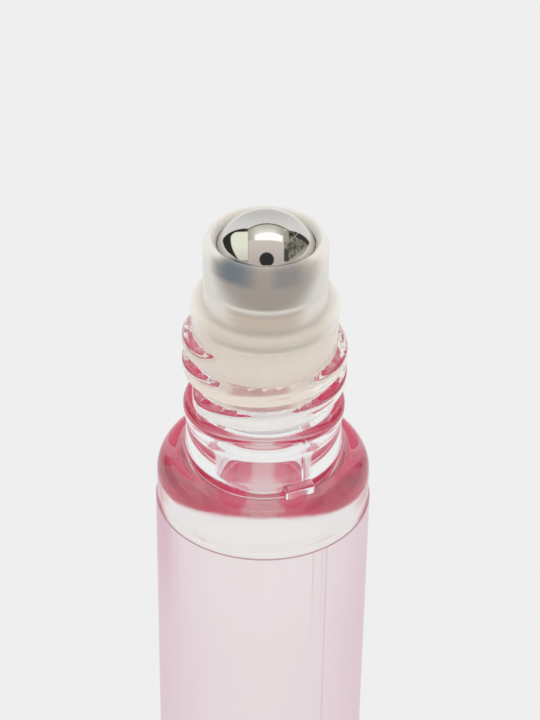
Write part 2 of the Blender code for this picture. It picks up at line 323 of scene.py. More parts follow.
class Graph:
    """Node tree in which every node is added by one method."""

    def __init__(self, tree, material=None):
        self.tree = tree
        self.material = material

    def node(self, kind, sockets=None, **settings):
        """Add a node, set its settings, then the values or links of its sockets."""
        made = self.tree.nodes.new(kind)
        for name, value in settings.items():
            setattr(made, name, value)
        for name, value in (sockets or {}).items():
            self.feed(made.inputs[name], value)
        return made

    def feed(self, socket, value):
        """Link a socket to an output, or set its value."""
        if isinstance(value, Number):
            value = value.socket
        if isinstance(value, bpy.types.Node):
            value = value.outputs[0]
        if isinstance(value, bpy.types.NodeSocket):
            self.tree.links.new(value, socket)
        elif socket.type == "RGBA" and len(value) == 3:
            socket.default_value = (*value, 1.0)
        else:
            socket.default_value = value

    def number(self, kind, sockets=None, output=0, **settings):
        """Add a node and wrap one of its outputs for arithmetic."""
        return Number(self, self.node(kind, sockets, **settings).outputs[output])

    def blend(self, share, first, second):
        """Blend two colours by a share from 0 to 1."""
        return self.node("ShaderNodeMix", {0: share, 6: first, 7: second}, data_type="RGBA").outputs[2]

    def coats(self, tone, *coats):
        """Lay colours over a tone in turn, each by its share."""
        for share, shade in coats:
            tone = self.blend(share, tone, shade)
        return tone

    def mix(self, share, first, second):
        """Blend two shaders by a share from 0 to 1."""
        return self.node("ShaderNodeMixShader", {0: share, 1: first, 2: second})

    def split(self, vector):
        """The three numbers of a vector."""
        parts = self.node("ShaderNodeSeparateXYZ", {0: vector})
        return [Number(self, parts.outputs[axis]) for axis in range(3)]

    def coordinates(self):
        """Object coordinates."""
        return self.node("ShaderNodeTexCoord").outputs["Object"]

    def place(self):
        """The three numbers of the object coordinates."""
        return self.split(self.coordinates())

    def facing(self):
        """How far the surface is turned away from the view, from 0 to 1."""
        return self.number("ShaderNodeLayerWeight", {"Blend": 0.5}, "Facing")

    def behind(self):
        """1 where a face is met from its back."""
        return self.number("ShaderNodeNewGeometry", None, "Backfacing")

    def close(self, surface):
        """Send a shader to the material's output, and give the material."""
        self.node("ShaderNodeOutputMaterial", {"Surface": surface})
        return self.material

    def close_one_sided(self, surface):
        """The same, with the surface clear where a face is met from its back."""
        return self.close(self.mix(self.behind(), surface, self.node("ShaderNodeBsdfTransparent")))

    def noise(self, scale, detail, upright=1.0):
        """Noise from 0 to 1, drawn out along the height where upright is below 1."""
        stretch = (1.0, 1.0, upright)
        stretched = self.node("ShaderNodeMapping", {"Vector": self.coordinates(), "Scale": stretch})
        return self.number("ShaderNodeTexNoise", {"Vector": stretched, "Scale": scale, "Detail": detail})

    def bump(self, height, strength, distance):
        """Bump whose height is a number."""
        return self.node("ShaderNodeBump", {"Strength": strength, "Distance": distance, "Height": height})


def turn_of(across, ahead):
    """Angle about the vial's axis, from the front to the right."""
    return across.arctangent(0.0 - ahead)


def scaled(shade, factor):
    """Colour made darker or lighter, up to white."""
    return [min(1.0, part * factor) for part in shade]


def new_finish(name, shown):
    """Empty graph of a new material with a viewport colour."""
    material = bpy.data.materials.new(name)
    material.use_nodes = True
    material.node_tree.nodes.clear()
    material.diffuse_color = (*shown, 1.0)
    return Graph(material.node_tree, material)


def glass_shader(graph, tint, ior, normal=None):
    """Clear refracting shader."""
    sockets = {"Base Color": tint, "Roughness": 0.0, "IOR": ior, "Transmission Weight": 1.0}
    if normal is not None:
        sockets["Normal"] = normal
    return graph.node("ShaderNodeBsdfPrincipled", sockets)


def glass_surface(graph, shades):
    """Clear glass with the faint waves that a mould leaves."""
    wave = graph.noise(420.0, 2.0, 0.6)
    tint = graph.blend(graph.noise(90.0, 1.0), shades.glass, WHITE)
    return glass_shader(graph, tint, GLASS_IOR, graph.bump(wave, 0.12, 0.05 * MM))


def clear_glass_finish(shades):
    """Plain clear glass."""
    graph = new_finish("clear_glass", shades.glass)
    return graph.close(glass_surface(graph, shades))


def filmed_glass_finish(shades):
    """Glass under the film: where light would be thrown back inside the wall, the film tints it."""
    graph = new_finish("filmed_glass", shades.film_mirror)
    clear = glass_surface(graph, shades)
    across, ahead, _ = graph.place()
    streak = graph.noise(1400.0, 3.0, 0.12) - 0.5
    flow = graph.noise(330.0, 2.0, 0.35) - 0.5
    slant = graph.facing() + streak * 0.05
    face = abs(turn_of(across, ahead).cosine()) + flow * 0.12
    lit = graph.node("ShaderNodeBsdfTranslucent", {"Color": shades.film_depth})
    mirrors = []
    for tone, share in ((shades.film_mirror, 0.8), (shades.film_pale, 0.88), (shades.film_deep, 0.3)):
        mirror = graph.node("ShaderNodeBsdfGlossy", {"Color": tone, "Roughness": 0.08})
        mirrors.append(graph.mix(share, lit, mirror))
    plain, pale, deep = mirrors
    thrown = graph.mix(face.step(0.88, 0.97), plain, pale)
    thrown = graph.mix(face.step(0.35, 0.5) * face.fall(0.88, 0.94), thrown, deep)
    thrown_back = slant.step(0.188, 0.228) * graph.behind()
    return graph.close(graph.mix(thrown_back, clear, thrown))


def perfume_finish(shades):
    """Thin clear liquid."""
    graph = new_finish("perfume", shades.perfume)
    tint = graph.blend(graph.noise(60.0, 1.0), shades.perfume, WHITE)
    return graph.close(glass_shader(graph, tint, PERFUME_IOR))


def film_finish(shades, film):
    """Frosted film: matt from outside, pinker seen slantwise, with painted shade on its upper left, and clear
    from behind.
    """
    graph = new_finish("frosted_film", shades.film_outside)
    across, ahead, height = graph.place()
    streak = graph.noise(900.0, 3.0, 0.04)
    past_lap = turn_of(across, ahead) - film.lap_angle
    upper = height.step(film.top - 15.0 * MM, film.top)
    # Upright lines of the lap, each with its angle past the lap's start and its strength
    lap = abs(past_lap - 0.16).fall(0.0, 0.02) * 0.3
    for beside, share in ((0.112, 0.28), (0.016, 0.26)):
        lap = lap.most(abs(past_lap - beside).fall(0.0, 0.014) * share * upper)
    edge = height.step(film.top - 0.11 * MM, film.top - 0.07 * MM)
    line = edge.most(lap * (streak * 0.8 + 0.6))
    bump = graph.bump(graph.noise(2600.0, 2.0), 0.15, 0.02 * MM)
    kinds = []
    for shade in (shades.film_outside, shades.film_side):
        tone = graph.blend(streak, scaled(shade, 0.975), scaled(shade, 1.02))
        tone = graph.blend(line, tone, shades.film_edge)
        sockets = {"Base Color": tone, "Roughness": 0.5, "Normal": bump}
        kinds.append(graph.node("ShaderNodeBsdfPrincipled", sockets))
    slant = graph.facing() + (streak - 0.5) * 0.2
    # Painted shade: the film pinker on its upper left
    left = slant.step(0.52, 0.68) * across.fall(-4.0 * MM, 4.0 * MM) * upper * 0.5
    side = slant.step(0.22, 0.8) * 0.5 + left + (1.0 - upper) * 0.1
    matt = graph.mix(side.least(1.0), *kinds)
    return graph.close_one_sided(matt)


def film_back_finish(shades):
    """The film's face towards the glass: it glows with the light beyond it, and is clear from behind."""
    graph = new_finish("film_back", shades.film_inside)
    across, ahead, _ = graph.place()
    speck = graph.noise(1500.0, 2.0).step(0.72, 0.8) * 0.35
    streak = graph.noise(1500.0, 3.0, 0.05) - 0.5
    side = (abs(turn_of(across, ahead).sine()) + streak * 0.5).step(0.62, 0.95) * 0.8
    tones = (shades.film_inside, shades.film_side)
    kinds = [graph.node("ShaderNodeBsdfTranslucent", {"Color": tone}) for tone in tones]
    glow = graph.mix(side.most(speck), *kinds)
    return graph.close_one_sided(glow)


def fitment_levels(size, glass):
    """Levels of the flange's underside, of its top and of the groove round the housing's foot."""
    underside = glass.lip_level + size.seat_gap
    flange_top = underside + size.flange_thickness
    return underside, flange_top, flange_top + size.groove_rise


def plastic_finish(shades, size, glass):
    """Natural polyethylene: milky and satin, with painted shade where the ball stands close behind it, under
    the groove and on the flange's front, and painted light on the plug.
    """
    graph = new_finish("milky_plastic", shades.plastic)
    across, ahead, height = graph.place()
    underside, flange_top, groove = fitment_levels(size, glass)
    rim, plug_end = size.housing_top, size.plug_end

    def over(level, low, high):
        """Smooth step from 0 to 1 between two distances above a level, in millimetres."""
        return height.step(level + low * MM, level + high * MM)

    def under(level, low, high):
        """The same, from 1 to 0."""
        return height.fall(level + low * MM, level + high * MM)

    turn = turn_of(across, ahead)
    face = abs(turn.cosine())
    front = turn.cosine().step(0.4, 0.85)
    cloud = graph.noise(350.0, 3.0)
    outer = size.housing_radius
    # Painted shade where the ball stands behind the housing's wall above the groove, strongest at the front
    # and back, fading downwards
    skin = (across * across + ahead * ahead).step((outer - 0.5 * MM) ** 2, outer ** 2)
    drop = ((rim - 1.8 * MM - height) / MM).most(0.0)
    ball_shade_zone = (face - drop * 0.1).step(0.4, 0.82) * over(groove, 0.3, 0.65) * skin.most(front)
    upper = ball_shade_zone * over(rim, -2.3, -1.4)
    touches = []
    for place, low, share in ((-38.0, 0.35, 1.0), (20.0, 0.8, 0.45)):
        twice = (turn - math.radians(place)) * 2.0
        touches.append((upper * twice.cosine().step(low, 1.0) * share, shades.ball_shade))
    low = under(flange_top, 0.1, 0.9) * 0.5
    # Painted shade line just under the groove, at the front and back
    line = abs(height - (groove - 0.19 * MM)).fall(0.05 * MM, 0.4 * MM)
    tone = graph.coats(
        graph.blend(cloud, scaled(shades.plastic, 0.97), scaled(shades.plastic, 1.02)),
        (face.fall(0.25, 0.62) * over(groove, -0.05, 0.55), shades.thin_rim),
        (ball_shade_zone, shades.ball_and_groove_shade),
        *touches,
        (over(rim, -0.25, 0.1) * (0.75 - front * 0.7), shades.plastic),
        # Painted shade under the groove at the front and back, fading out towards the flange
        (under(groove, -0.35, 0.05) * (face.step(0.7, 0.95) - low).most(0.0), shades.foot_shade),
        (line * face.step(0.72, 0.9) * 0.45, shades.ball_and_groove_shade),
        # Flange: painted light on its sides, painted shade on its front and back
        (under(flange_top, -0.1, 0.2), graph.blend(face.step(0.25, 0.8), shades.flange_side, shades.flange)),
        (under(underside, 0.45, 0.85) * face.step(0.6, 0.9) * 0.75, shades.flange_shade),
    )

    # Painted light making the plug paler towards its lower end
    plug = graph.blend(over(plug_end, 1.3, 3.7), shades.plug_end, shades.plug)
    # Painted pink light in three bands at the front of the plug, made ragged by noise
    band_raggedness = graph.noise(450.0, 2.0, 2.0) + 0.4
    seen = abs(turn + 0.06).fall(0.4, 0.66)
    for rise, reach, share in ((5.2, 0.3, 0.8), (4.4, 0.2, 0.6), (3.25, 0.65, 1.0)):
        band = abs(height - (plug_end + rise * MM)).fall(reach * 0.4 * MM, reach * MM)
        plug = graph.blend((band * seen * band_raggedness * share).least(1.0), plug, shades.plug_pink_light)
    tone = graph.blend(over(underside, -0.1, 0.0), plug, tone)

    grain = graph.bump(graph.noise(3200.0, 2.0), 0.08, 0.02 * MM)
    sockets = {"Base Color": tone, "Roughness": 0.38, "Normal": grain, "Subsurface Weight": 1.0}
    sockets.update({"Subsurface Radius": (1.0, 0.95, 0.85), "Subsurface Scale": 1.6 * MM})
    return graph.close(graph.node("ShaderNodeBsdfPrincipled", sockets))


def steel_finish(shades):
    """Mirror-polished steel with the faintest lapping marks."""
    graph = new_finish("polished_steel", shades.steel)
    lapping = graph.noise(700.0, 3.0)
    tone = graph.blend(lapping, scaled(shades.steel, 0.97), shades.steel)
    sockets = {"Base Color": tone, "Metallic": 1.0, "Roughness": 0.03}
    sockets["Normal"] = graph.bump(lapping, 0.02, 0.01 * MM)
    return graph.close(graph.node("ShaderNodeBsdfPrincipled", sockets))


# Turned shapes

def arc(centre_r, centre_z, radius, start, end, steps):
    """Points of a round stretch from the start angle to the end angle, in degrees."""
    turns = [math.radians(start + (end - start) * step / steps) for step in range(steps + 1)]
    return [(centre_r + radius * math.cos(turn), centre_z + radius * math.sin(turn)) for turn in turns]


def top_edge(radius, level, rounding, steps):
    """Points of a rounded top edge, from its side to its top."""
    return arc(radius - rounding, level - rounding, rounding, 0.0, 90.0, steps)


def stretch(first, last, steps):
    """Points between two points, without either of them."""
    shares = [step / steps for step in range(1, steps)]
    return [tuple(a + (b - a) * share for a, b in zip(first, last)) for share in shares]


def swell(first, last, steps):
    """Points of a soft slope between two points, with the last and without the first."""
    shares = [step / steps for step in range(1, steps + 1)]
    reach, rise = last[0] - first[0], last[1] - first[1]
    eased = [(reach * share * share * (3.0 - 2.0 * share), rise * share) for share in shares]
    return [(first[0] + across, first[1] + up) for across, up in eased]


def even_columns(count):
    """Angles of a turned mesh's columns, from the front to the right."""
    return [math.tau * column / count for column in range(count)]


def close_columns(count, places, reach, extra):
    """Even columns, with extra ones close to given angles."""
    def gap(one, other):
        """Angle between two places on the circle."""
        return abs((one - other + math.pi) % math.tau - math.pi)

    kept = [turn for turn in even_columns(count) if all(gap(turn, place) > reach for place in places)]
    for centre in places:
        kept += [(centre + reach * (2.0 * step / extra - 1.0)) % math.tau for step in range(extra + 1)]
    return sorted(kept)


def turned_mesh(name, outline, columns):
    """Mesh of radius and height points turned about Z, with its faces outwards."""
    closed = outline[0][0] > AXIS_RADIUS
    points = []
    rings = []
    for radius, height in outline:
        around = columns if radius > AXIS_RADIUS else columns[:1]
        rings.append(list(range(len(points), len(points) + len(around))))
        points += [(radius * math.sin(turn), -radius * math.cos(turn), height) for turn in around]
    pairs = list(zip(rings, rings[1:]))
    if closed:
        pairs.append((rings[-1], rings[0]))
    faces = []
    for lower, upper in pairs:
        for column in range(len(columns)):
            after = (column + 1) % len(columns)
            corners = [lower[column % len(lower)], lower[after % len(lower)]]
            corners += [upper[after % len(upper)], upper[column % len(upper)]]
            faces.append(list(dict.fromkeys(corners)))
    faces = [face for face in faces if len(face) > 2]
    mesh = bpy.data.meshes.new(name)
    mesh.from_pydata(points, [], faces)
    bm = bmesh.new()
    bm.from_mesh(mesh)
    bmesh.ops.recalc_face_normals(bm, faces=bm.faces)
    bm.to_mesh(mesh)
    bm.free()
    return mesh


def smooth(mesh):
    """Shade a mesh smooth except at its sharp edges."""
    mesh.shade_smooth()
    mesh.set_sharp_from_angle(angle=SHARP_ANGLE)


def new_piece(name, mesh, *materials):
    """Object of a mesh at the origin, smooth except at its sharp edges."""
    smooth(mesh)
    piece = bpy.data.objects.new(name, mesh)
    bpy.context.scene.collection.objects.link(piece)
    for material in materials:
        mesh.materials.append(material)
    return piece


def turned_piece(name, outline, columns, *materials):
    """Object of an outline turned about Z."""
    return new_piece(name, turned_mesh(name, outline, columns), *materials)


def settle(piece):
    """Turn a piece's modifiers into plain mesh."""
    graph = bpy.context.evaluated_depsgraph_get()
    old = piece.data
    made = bpy.data.meshes.new_from_object(piece.evaluated_get(graph), depsgraph=graph)
    piece.modifiers.clear()
    piece.data = made
    made.name = old.name
    bpy.data.meshes.remove(old)
    smooth(made)


def tool_piece(name, bm, *materials):
    """Object of a finished bmesh, which is freed."""
    mesh = bpy.data.meshes.new(name)
    bm.to_mesh(mesh)
    bm.free()
    return new_piece(name, mesh, *materials)


def combine(piece, tool, operation):
    """Join a piece with a tool shape or cut it by one, and drop the tool."""
    modifier = piece.modifiers.new("combine", "BOOLEAN")
    modifier.operation = operation
    modifier.solver = "EXACT"
    modifier.object = tool
    settle(piece)
    bpy.data.objects.remove(tool)


# Glass

def glass_inside(size, skin=0.0):
    """Inside of the vial, from its floor up to the top of the bore, moved into the glass by a skin."""
    cavity = size.body_radius - size.wall
    floor = size.punt_depth + size.base_thickness
    dome_top = size.shoulder_start + size.shoulder_radius - size.shoulder_wall
    dome = dome_top - size.dome_radius
    throat = size.neck_bore + size.throat_radius
    corner = size.floor_corner
    inside = [(0.0, floor - skin)]
    inside += arc(cavity - corner, floor + corner, corner + skin, -90.0, 0.0, 10)
    inside += arc(cavity - size.dome_radius, dome, size.dome_radius + skin, 0.0, 90.0, 24)
    inside += arc(throat, dome_top + size.throat_radius, size.throat_radius - skin, 270.0, 180.0, 16)
    inside += stretch(inside[-1], (size.neck_bore + skin, size.lip_level - size.lip_chamfer), 40)
    return inside


def glass_outline(size, film):
    """Half section of the vial, from the punt up the outside and back down the inside."""
    curve = (size.punt_radius ** 2 + size.punt_depth ** 2) / (2.0 * size.punt_depth)
    half = math.degrees(math.asin(size.punt_radius / curve))
    shoulder_top = size.shoulder_start + size.shoulder_radius
    collar_top = shoulder_top + size.collar_height
    foot = size.collar_foot + size.collar_fillet
    shoulder_centre = size.body_radius - size.shoulder_radius
    reach = size.shoulder_radius + size.collar_fillet
    end = math.degrees(math.acos((foot - shoulder_centre) / reach))
    fillet = size.shoulder_start + reach * math.sin(math.radians(end))

    outside = arc(0.0, size.punt_depth - curve, curve, 90.0, 90.0 - half, 10)
    outside += arc(size.body_radius - size.heel_radius, size.heel_radius, size.heel_radius, -90.0, 0.0, 14)
    outside += [(size.body_radius, film.bottom), (size.body_radius, film.top)]
    outside += arc(shoulder_centre, size.shoulder_start, size.shoulder_radius, 0.0, end, 32)
    outside += arc(foot, fillet, size.collar_fillet, 180.0 + end, 180.0, 12)[1:]
    waist = (size.collar_waist, shoulder_top + size.waist_height)
    bead = (size.collar_radius, shoulder_top + size.bead_height)
    outside += stretch(outside[-1], waist, 8) + [waist]
    outside += swell(waist, bead, 14)
    outside += top_edge(size.collar_radius, collar_top, size.collar_round, 12)
    neck = (size.neck_radius, collar_top + size.collar_radius - size.collar_round - size.neck_radius)
    outside.append(neck)
    outside += stretch(neck, (size.neck_radius, size.lip_level - size.lip_round), NECK_ROWS)
    outside += top_edge(size.neck_radius, size.lip_level, size.lip_round, 8)
    outside.append((size.neck_bore + size.lip_chamfer, size.lip_level))
    outside.append((size.neck_bore, size.lip_level - size.lip_chamfer))
    return outside + glass_inside(size)[::-1]


def thread_tree(values):
    """Geometry nodes that raise the screw thread and the mould seams, with an input for each value."""
    tree = bpy.data.node_groups.new("neck_finish", "GeometryNodeTree")
    graph = Graph(tree)
    for way in ("OUTPUT", "INPUT"):
        tree.interface.new_socket("Geometry", in_out=way, socket_type="NodeSocketGeometry")
    for name, value in values.items():
        kind = "NodeSocketMaterial" if isinstance(value, bpy.types.Material) else "NodeSocketFloat"
        tree.interface.new_socket(name, in_out="INPUT", socket_type=kind)
    given = graph.node("NodeGroupInput").outputs
    size = SimpleNamespace(**{name: Number(graph, given[name]) for name in values})

    across, ahead, height = graph.split(graph.node("GeometryNodeInputPosition"))
    radius = (across * across + ahead * ahead) ** 0.5
    turn = turn_of(across, ahead)

    passed = ((0.0 - turn) / math.tau - 0.25).fraction()
    down = (size.level - height) / size.pitch - passed
    whole = down.nearest()
    below = (down - whole) * size.pitch
    along = whole + passed
    rise = along.step(size.start, size.start + size.fade)
    sink = along.fall(size.end - size.fade, size.end)
    soft = math.radians(9.0)
    front = turn.step(size.flat_from - soft, size.flat_from) * turn.fall(size.flat_to, size.flat_to + soft)
    kept = 1.0 - front * size.flat_share
    flank = (below / size.lower).most((0.0 - below) / size.upper).least(1.0)
    crest = (1.0 - flank ** 3.0) ** 0.4 * size.height * rise * sink * kept

    offset = abs((turn - size.seam_angle).sine()) * radius
    seam = (1.0 - (offset / size.seam_width).least(1.0) ** 2.0) ** 2.0 * size.seam_height
    outer = radius > size.neck_radius - 0.1 * MM
    over = height.step(size.neck_foot - 5.2 * MM, size.neck_foot - 4.7 * MM)
    under = height.fall(size.neck_top - 0.3 * MM, size.neck_top)
    on_neck = (height > size.neck_foot) * under
    grown = (crest * on_neck + seam * over * under) * outer / radius
    spot = graph.node("ShaderNodeCombineXYZ", {0: across, 1: ahead})
    growth = graph.node("ShaderNodeCombineXYZ", {0: grown, 1: grown})
    shift = graph.node("ShaderNodeVectorMath", {0: spot, 1: growth}, operation="MULTIPLY")
    moved = graph.node("GeometryNodeSetPosition", {"Geometry": given["Geometry"], "Offset": shift})
    real = graph.node("GeometryNodeRealizeInstances", {"Geometry": moved})
    clear = graph.node("GeometryNodeSetMaterial", {"Geometry": real, "Material": given["glass"]})
    on_body = radius > size.body_radius - 0.2 * MM
    wrapped = on_body * (height > size.film_bottom) * (height < size.film_top)
    sockets = {"Geometry": clear, "Selection": wrapped, "Material": given["filmed_glass"]}
    graph.node("NodeGroupOutput", {"Geometry": graph.node("GeometryNodeSetMaterial", sockets)})
    return tree


def lug_tool(size, material):
    """Rounded bar that the mould leaves in the corner between the shoulder and the collar."""
    depth = size.lug_root + size.lug_proud
    centre_r = size.collar_foot + size.lug_proud - depth / 2.0
    centre_z = size.shoulder_start + size.shoulder_radius - size.lug_sink + size.lug_height / 2.0
    bm = bmesh.new()
    bmesh.ops.create_cube(bm, size=1.0)
    bmesh.ops.scale(bm, verts=bm.verts, vec=(size.lug_width, depth, size.lug_height))
    bmesh.ops.bevel(bm, geom=bm.edges, offset=size.lug_bevel, segments=4, profile=0.5, affect="EDGES")
    bmesh.ops.translate(bm, verts=bm.verts, vec=(0.0, -centre_r, centre_z))
    bmesh.ops.rotate(bm, verts=bm.verts, matrix=Matrix.Rotation(size.lug_angle, 3, "Z"))
    return tool_piece("lug", bm, material)


class VIAL_OT_glass(Operator):
    """Make the moulded glass vial with its screw thread, seams and lug"""

    bl_idname = "vial.glass"
    bl_label = "Glass"

    def execute(self, context):
        settings = context.scene.vial
        size, thread, film = settings.glass, settings.thread, settings.film
        clear = clear_glass_finish(settings.colours)
        filmed = filmed_glass_finish(settings.colours)
        seams = [thread.seam_angle, thread.seam_angle + math.pi]
        columns = close_columns(GLASS_COLUMNS, seams, SEAM_REACH, SEAM_COLUMNS)
        vial = turned_piece("vial_glass", glass_outline(size, film), columns, clear, filmed)

        values = {key: getattr(thread, key) for key in VialThreadSizes.__annotations__}
        values.update({
            "neck_foot": size.shoulder_start + size.shoulder_radius + size.collar_height,
            "neck_radius": size.neck_radius, "neck_top": size.lip_level, "body_radius": size.body_radius,
            "film_bottom": film.bottom, "film_top": film.top, "glass": clear, "filmed_glass": filmed,
        })
        tree = thread_tree(values)
        modifier = vial.modifiers.new("neck_finish", "NODES")
        modifier.node_group = tree
        for item in tree.interface.items_tree:
            if item.in_out == "INPUT" and item.name in values:
                modifier[item.identifier] = values[item.name]
        settle(vial)
        combine(vial, lug_tool(size, clear), "UNION")
        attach(vial, "bottle")
        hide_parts("glass_bottle")
        return {"FINISHED"}


# Perfume

class VIAL_OT_perfume(Operator):
    """Make the perfume, wetting the glass and drawn up it at its rim"""

    bl_idname = "vial.perfume"
    bl_label = "Perfume"

    def execute(self, context):
        settings = context.scene.vial
        fill = settings.fill
        wetted = glass_inside(settings.glass, fill.wetting)
        edge = fill.level + fill.rise
        outline = [wetted[0]]
        for lower, upper in zip(wetted, wetted[1:]):
            if upper[1] >= edge and upper[0] > 0.0:
                share = (edge - lower[1]) / (upper[1] - lower[1])
                outline.append((lower[0] + (upper[0] - lower[0]) * share, edge))
                break
            outline.append(upper)
        rim = outline[-1][0]
        for step in range(1, MENISCUS_ROWS + 1):
            share = step / MENISCUS_ROWS
            outline.append((rim - fill.reach * share, fill.level + fill.rise * (1.0 - share) ** 2))
        outline.append((0.0, fill.level))
        finish = perfume_finish(settings.colours)
        perfume = turned_piece("perfume", outline, even_columns(PERFUME_COLUMNS), finish)
        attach(perfume, "bottle")
        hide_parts("perfume_fill")
        return {"FINISHED"}


# Fitment

def fitment_outline(size, glass):
    """Half section of the fitment, down its outside and back up through its bore."""
    socket = size.ball_radius + size.ball_clearance
    underside, flange_top, groove = fitment_levels(size, glass)
    bore = size.plug_radius - size.plug_wall
    hole = bore - size.seat_ledge
    bore_top = size.ball_centre - socket - size.seat_floor
    lip_angle = math.degrees(math.acos(size.lip_opening / socket))
    hole_angle = math.degrees(math.acos(hole / socket))

    width = size.housing_radius - size.rim_top
    rounding = arc(0.0, 0.0, 1.0, 90.0, 0.0, 14)
    outline = [(size.rim_top + x * width, size.housing_top + (z - 1.0) * size.rim_round) for x, z in rounding]
    for part, sink in ((2.0, 0.0), (3.0, 0.8), (6.0, 1.0), (-6.0, 1.0), (-3.0, 0.8), (-2.0, 0.0)):
        outline.append((size.housing_radius - size.groove_depth * sink, groove + size.groove_width / part))
    foot = size.housing_radius + size.flange_fillet
    outline += arc(foot, flange_top + size.flange_fillet, size.flange_fillet, 180.0, 270.0, 6)
    edge = size.flange_round
    outline += arc(size.flange_radius - edge, flange_top - edge, edge, 90.0, 0.0, 8)
    outline += [(size.flange_radius, underside), (size.plug_radius, underside)]
    for index in range(size.reliefs):
        top = glass.lip_level - size.relief_start - index * size.relief_pitch
        for step in range(9):
            share = step / 8.0
            sink = size.relief_depth * math.sin(math.pi * share) ** 0.5
            outline.append((size.plug_radius - sink, top - size.relief_width * share))
    outline += [
        (size.plug_radius, size.plug_end + size.plug_lead),
        (size.plug_radius - size.plug_lead / 2.0, size.plug_end),
        (bore, size.plug_end),
        (bore, bore_top),
        (hole, bore_top),
    ]
    outline += arc(0.0, size.ball_centre, socket, -hole_angle, lip_angle, 36)
    return outline


def channel_tool(size, index):
    """Half disc whose edge cuts two opposite flow channels into the seat under the ball."""
    radius = size.ball_radius + size.ball_clearance + size.channel_depth
    bm = bmesh.new()
    outline = arc(0.0, 0.0, radius, 180.0, 360.0, 40)
    points = [(along, size.channel_width / 2.0, height) for along, height in outline]
    face = bm.faces.new([bm.verts.new(point) for point in points])
    sweep = bmesh.ops.extrude_face_region(bm, geom=[face], use_keep_orig=True)
    moved = [part for part in sweep["geom"] if isinstance(part, bmesh.types.BMVert)]
    bmesh.ops.translate(bm, verts=moved, vec=(0.0, -size.channel_width, 0.0))
    turn = math.tau * (index + 0.5) / size.channels
    bmesh.ops.rotate(bm, verts=bm.verts, matrix=Matrix.Rotation(turn, 3, "Z"))
    bmesh.ops.translate(bm, verts=bm.verts, vec=(0.0, 0.0, size.ball_centre))
    bmesh.ops.recalc_face_normals(bm, faces=bm.faces)
    return tool_piece("channel", bm)


class VIAL_OT_fitment(Operator):
    """Make the roll-on fitment: ball socket with its snap lip, flange and grooved plug"""

    bl_idname = "vial.fitment"
    bl_label = "Fitment"

    def execute(self, context):
        settings = context.scene.vial
        size = settings.fitment
        outline = fitment_outline(size, settings.glass)
        finish = plastic_finish(settings.colours, size, settings.glass)
        fitment = turned_piece("roller_fitment", outline, even_columns(FITMENT_COLUMNS), finish)
        for index in range(size.channels // 2):
            combine(fitment, channel_tool(size, index), "DIFFERENCE")
        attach(fitment, "bottle")
        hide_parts("roller_housing")
        return {"FINISHED"}


class VIAL_OT_ball(Operator):
    """Make the polished steel ball"""

    bl_idname = "vial.ball"
    bl_label = "Ball"

    def execute(self, context):
        settings = context.scene.vial
        size = settings.fitment
        outline = arc(0.0, size.ball_centre, size.ball_radius, -90.0, 90.0, 72)
        outline[0] = (0.0, outline[0][1])
        outline[-1] = (0.0, outline[-1][1])
        finish = steel_finish(settings.colours)
        ball = turned_piece("steel_ball", outline, even_columns(BALL_COLUMNS), finish)
        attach(ball, "ball")
        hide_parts("roller_ball")
        return {"FINISHED"}


# Film

class VIAL_OT_film(Operator):
    """Wrap the frosted film round the body, with its lap on the right"""

    bl_idname = "vial.film"
    bl_label = "Film"

    def execute(self, context):
        settings = context.scene.vial
        film = settings.film
        inner = settings.glass.body_radius + film.gap
        outer = inner + film.thickness
        columns = close_columns(FILM_COLUMNS, [film.lap_angle], LAP_REACH, LAP_COLUMNS)
        low, high = film.bottom, film.top
        edge = film.thickness * 0.2
        outline = [(inner, low), (outer - edge, low), (outer, low + edge)]
        outline += stretch((outer, low + edge), (outer, high - edge), 12)
        outline += [(outer, high - edge), (outer - edge, high), (inner, high)]
        finishes = film_finish(settings.colours, film), film_back_finish(settings.colours)
        wrap = turned_piece("frosted_wrap", outline, columns, *finishes)
        for face in wrap.data.polygons:
            centre = face.center
            if math.hypot(centre.x, centre.y) < inner + film.thickness * 0.1:
                face.material_index = 1
        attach(wrap, "bottle")
        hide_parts("label_film")
        return {"FINISHED"}


# Stage

VIEW_PITCH = math.radians(35.863)
VIEW_YAW = math.radians(0.16)
VIEW_ROLL = math.radians(0.835)
VIEW_POINT = Vector((0.0, -177.79, 194.39)) * MM

# Focal length of the view and height of its frame, in pixels
VIEW_FOCAL = 2403.9
VIEW_HEIGHT = 720.0

FLOOR_REACH = 1.5
FLOOR_DROP = 0.02 * MM
BOUNCES = 24


def view_axes():
    """Right, up and backward directions of the photographed view."""
    level = math.cos(VIEW_PITCH)
    ahead = Vector((math.sin(VIEW_YAW) * level, math.cos(VIEW_YAW) * level, -math.sin(VIEW_PITCH)))
    right = Vector((math.cos(VIEW_YAW), -math.sin(VIEW_YAW), 0.0))
    up = right.cross(ahead)
    turned_right = right * math.cos(VIEW_ROLL) + up * math.sin(VIEW_ROLL)
    turned_up = up * math.cos(VIEW_ROLL) - right * math.sin(VIEW_ROLL)
    return turned_right, turned_up, -ahead


def add_camera(scene):
    """Camera at the photograph's viewing angle."""
    right, up, back = view_axes()
    camera = bpy.data.cameras.new("camera")
    camera.sensor_width = 36.0
    camera.lens = VIEW_FOCAL / VIEW_HEIGHT * camera.sensor_width
    camera.clip_start = 0.01
    item = bpy.data.objects.new("camera", camera)
    item.matrix_world = Matrix.Translation(VIEW_POINT) @ Matrix((right, up, back)).transposed().to_4x4()
    scene.collection.objects.link(item)
    scene.camera = item


